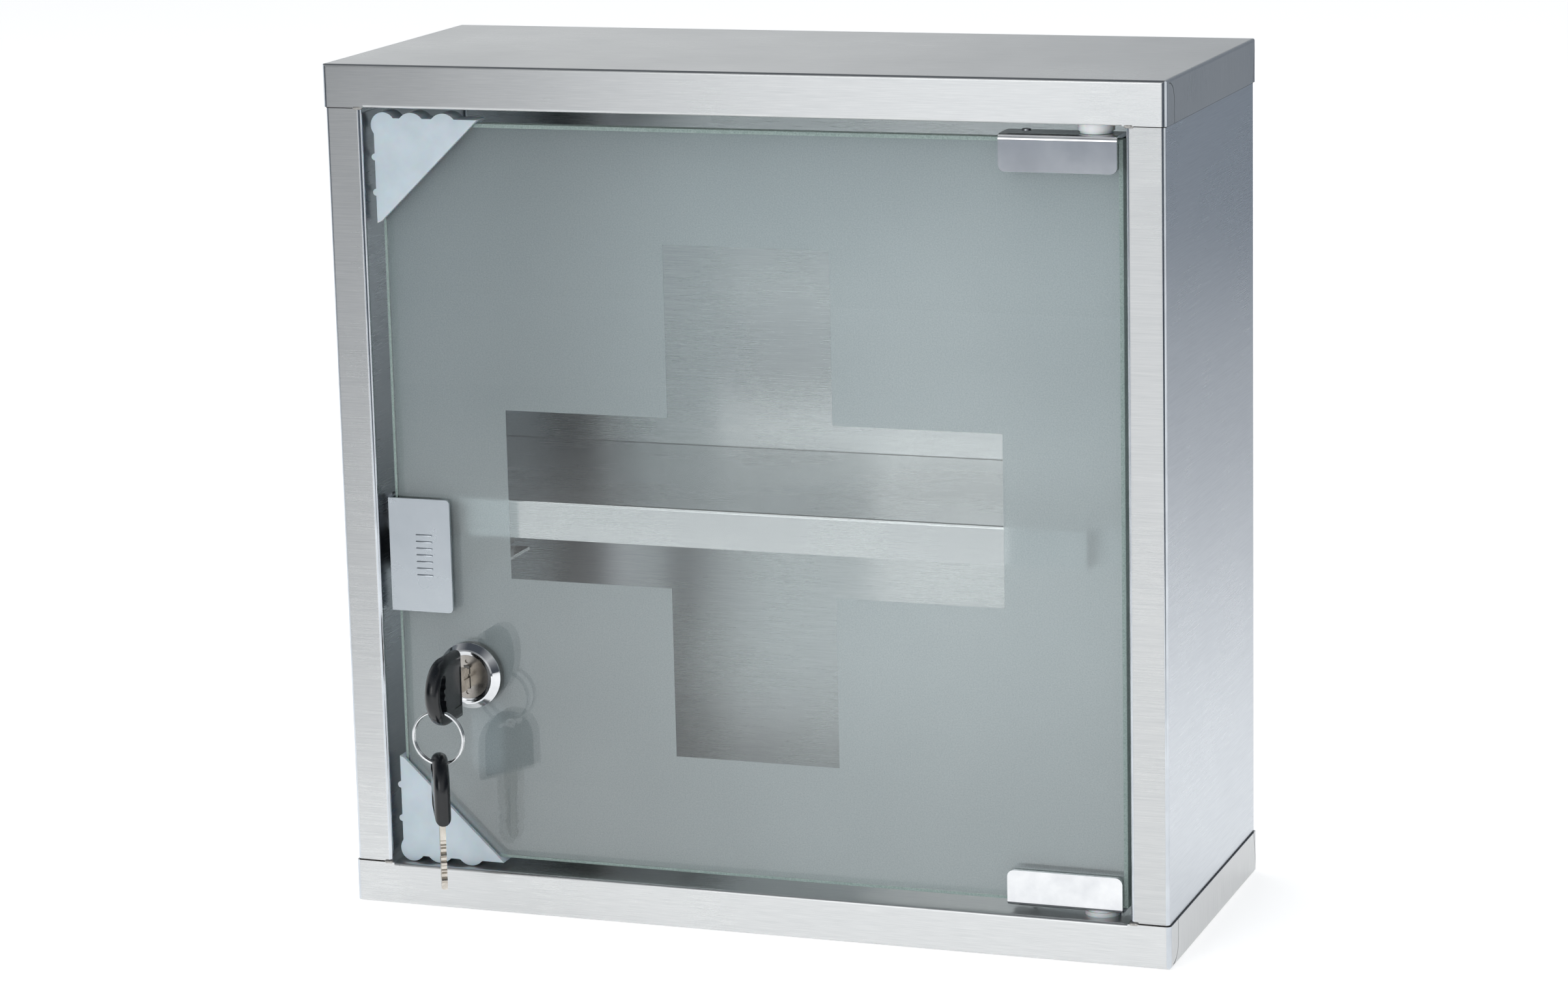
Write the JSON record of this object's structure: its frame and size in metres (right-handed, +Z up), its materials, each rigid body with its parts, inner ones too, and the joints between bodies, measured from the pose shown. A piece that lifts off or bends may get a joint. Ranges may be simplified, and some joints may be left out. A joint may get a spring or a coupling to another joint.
{
  "type": "lockable medicine cabinet",
  "caption": "Small stainless steel wall cabinet with a hinged frosted glass door bearing a clear cross, a push latch, a cam lock with keys and a fixed shelf.",
  "frame": {"origin": "centre of the cabinet's base, on the underside of the bottom cap", "axes": "+Z up, +X to the right of someone facing the door, +Y back towards the wall"},
  "size_m": [0.3, 0.155, 0.3],
  "materials": {
    "brushed_sheet": "stainless sheet, brushed in one direction",
    "weld": "small ground weld beads",
    "nylon": "white moulded nylon",
    "latch_plastic": "pale grey moulded plastic",
    "magnet": "sintered magnet, dull",
    "zinc_screw": "zinc plated, satin",
    "clear_glass": "float glass with ground edges",
    "frosting": "frosted, grey green",
    "chrome_plate": "bright chrome plate",
    "turned_steel": "plain steel, bright",
    "clear_pad": "clear soft plastic",
    "satin_strike": "satin nickel plate",
    "rubber_pad": "black rubber",
    "guard_plastic": "translucent milky plastic",
    "nickel_plug": "nickel plated, satin",
    "key_plastic": "black moulded plastic, semi gloss",
    "nickel_key": "nickel plated key steel",
    "ring_steel": "polished steel wire"
  },
  "bodies": {
    "cabinet": {"left_side": "brushed_sheet", "right_side": "brushed_sheet", "back_panel": "brushed_sheet", "top_cap": "brushed_sheet", "bottom_cap": "brushed_sheet", "corner_welds": "weld", "shelf": "brushed_sheet", "upper_bush": "nylon", "lower_bush": "nylon", "latch_bracket": "brushed_sheet", "latch_housing": "latch_plastic", "latch_screws": "zinc_screw"},
    "latch_plunger": {"latch_plunger": "nylon", "latch_magnet": "magnet", "latch_spring": "turned_steel"},
    "door": {"glass_pane": "clear_glass", "frosted_film": "frosting", "upper_clip": "chrome_plate", "lower_clip": "chrome_plate", "upper_pin": "turned_steel", "lower_pin": "turned_steel", "clip_pads": "clear_pad", "pressure_plates": "turned_steel", "clip_screws": "zinc_screw", "strike_plate": "satin_strike", "strike_liner": "rubber_pad", "upper_corner_guard": "guard_plastic", "lower_corner_guard": "guard_plastic", "lock_body": "chrome_plate", "lock_gaskets": "rubber_pad", "lock_nut": "zinc_screw"},
    "lock": {"lock_plug": "nickel_plug", "lock_cam": "turned_steel", "cam_screw": "zinc_screw"},
    "key": {"key_bow": "key_plastic", "key_blade": "nickel_key"},
    "ring": {"key_ring": "ring_steel"},
    "spare_key": {"spare_key_bow": "key_plastic", "spare_key_blade": "nickel_key"}
  },
  "joints": [
    {"name": "door_hinge", "type": "hinge", "parent": "cabinet", "child": "door", "pos_m": [0.1236, -0.0495, 0.1492], "axis": [0, 0, 1], "range_deg": [0, 105]},
    {"name": "latch_press", "type": "slide", "parent": "cabinet", "child": "latch_plunger", "axis": [0, 1, 0], "range_m": [0, 0.003], "stiffness_N_per_m": 300, "springref_m": -0.004},
    {"name": "lock_turn", "type": "hinge", "parent": "door", "child": "lock", "pos_m": [-0.1049, -0.05, 0.0847], "axis": [0, 1, 0], "range_deg": [0, 90]},
    {"name": "key_pull", "type": "slide", "parent": "lock", "child": "key", "axis": [0, -1, 0], "range_m": [0, 0.03]},
    {"name": "ring_swing", "type": "hinge", "parent": "key", "child": "ring", "pos_m": [-0.1049, -0.08395, 0.0778], "axis": [1, 0, 0], "range_deg": [-10, 10]},
    {"name": "spare_key_swing", "type": "hinge", "parent": "ring", "child": "spare_key", "pos_m": [-0.1049, -0.08395, 0.06065], "axis": [1, 0, 0], "range_deg": [-8, 8]}
  ]
}
